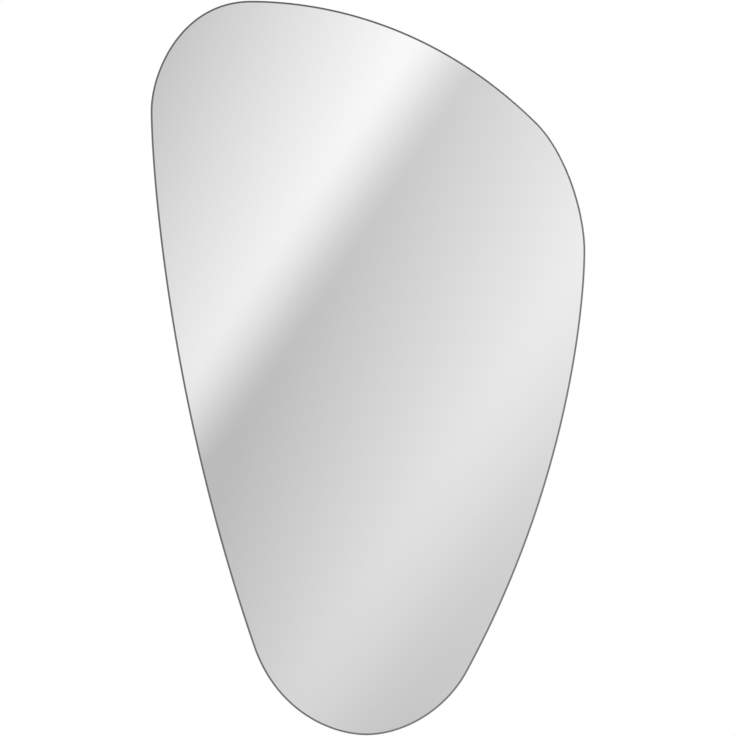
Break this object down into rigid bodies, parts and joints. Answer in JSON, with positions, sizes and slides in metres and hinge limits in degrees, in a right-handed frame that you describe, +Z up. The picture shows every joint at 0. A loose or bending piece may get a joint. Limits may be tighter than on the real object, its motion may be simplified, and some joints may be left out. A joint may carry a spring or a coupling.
{
  "type": "wall mirror",
  "caption": "Frameless wall mirror with a free-form rounded outline and polished glass edge, on a set-in back board with swinging D-rings to hang it and rubber wall bumpers.",
  "frame": {"origin": "on the wall plane, midway between the two wall hooks, at the height where the hooks carry the rings", "axes": "+Z up, +Y into the wall, the mirror face looks along -Y, +X to the right for someone who looks into the mirror"},
  "size_m": [0.592, 0.0234, 1],
  "materials": {
    "mirror_glass": "flat silvered glass with a ground and polished round edge",
    "silver": "silver layer under grey protective paint",
    "safety_film": "matt bonded film",
    "foam_tape": "closed-cell foam tape",
    "adhesive": "cured mirror adhesive, satin",
    "fibreboard": "raw medium-density fibreboard, matt",
    "plated_steel": "bright zinc plate",
    "rubber": "matt black rubber"
  },
  "bodies": {
    "mirror": {"mirror_glass": "mirror_glass", "silver_coating": "silver", "safety_film": "safety_film", "foam_tape_1": "foam_tape", "foam_tape_2": "foam_tape", "foam_tape_3": "foam_tape", "foam_tape_4": "foam_tape", "foam_tape_5": "foam_tape", "adhesive_bead_1": "adhesive", "adhesive_bead_2": "adhesive", "adhesive_bead_3": "adhesive", "adhesive_bead_4": "adhesive", "back_board": "fibreboard", "hanger_strap_left": "plated_steel", "hanger_strap_right": "plated_steel", "hanger_screw_1": "plated_steel", "hanger_screw_2": "plated_steel", "hanger_screw_3": "plated_steel", "hanger_screw_4": "plated_steel", "wall_bumper_1": "rubber", "wall_bumper_2": "rubber", "wall_bumper_3": "rubber", "wall_bumper_4": "rubber"},
    "ring_left": {"hanger_ring_left": "plated_steel"},
    "ring_right": {"hanger_ring_right": "plated_steel"}
  },
  "joints": [
    {"name": "ring_left_swing", "type": "hinge", "parent": "mirror", "child": "ring_left", "pos_m": [-0.18, -0.005, -0.01596], "axis": [-1, 0, 0], "range_deg": [0, 178]},
    {"name": "ring_right_swing", "type": "hinge", "parent": "mirror", "child": "ring_right", "pos_m": [0.18, -0.005, -0.01596], "axis": [-1, 0, 0], "range_deg": [0, 178]}
  ]
}
